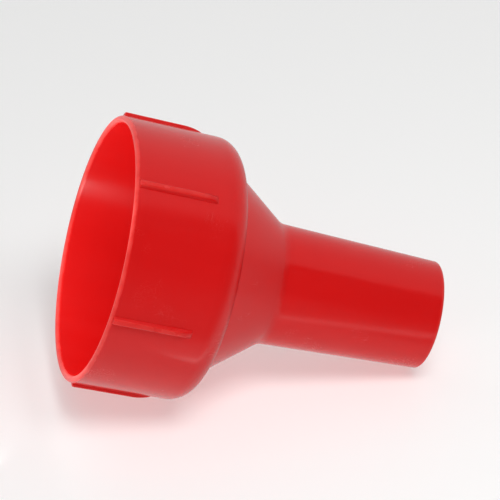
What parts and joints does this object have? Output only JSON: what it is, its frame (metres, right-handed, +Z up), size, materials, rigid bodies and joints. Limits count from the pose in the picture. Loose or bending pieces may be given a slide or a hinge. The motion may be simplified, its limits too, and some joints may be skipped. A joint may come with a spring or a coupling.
{
  "type": "filling funnel",
  "caption": "Moulded plastic funnel with a wide ribbed cup, a rounded shoulder, a cone and a gently tapered spout, lying on its side.",
  "frame": {"origin": "centre of the footprint's bounding box, on the surface that the funnel lies on", "axes": "+Z up; +X along the funnel as seen from above, from the mouth to the tip of the spout; the funnel's own axis lies in the XZ plane and falls 17.5 degrees towards the tip"},
  "size_m": [0.1116, 0.0792, 0.0817],
  "materials": {
    "red_plastic": "semi-gloss moulded polyethylene, pigment red"
  },
  "bodies": {
    "root": {"mouth_rim": "red_plastic", "skirt": "red_plastic", "grip_rib_1": "red_plastic", "grip_rib_2": "red_plastic", "grip_rib_3": "red_plastic", "grip_rib_4": "red_plastic", "grip_rib_5": "red_plastic", "grip_rib_6": "red_plastic", "shoulder": "red_plastic", "cone": "red_plastic", "spout": "red_plastic", "spout_lip": "red_plastic"}
  },
  "joints": []
}
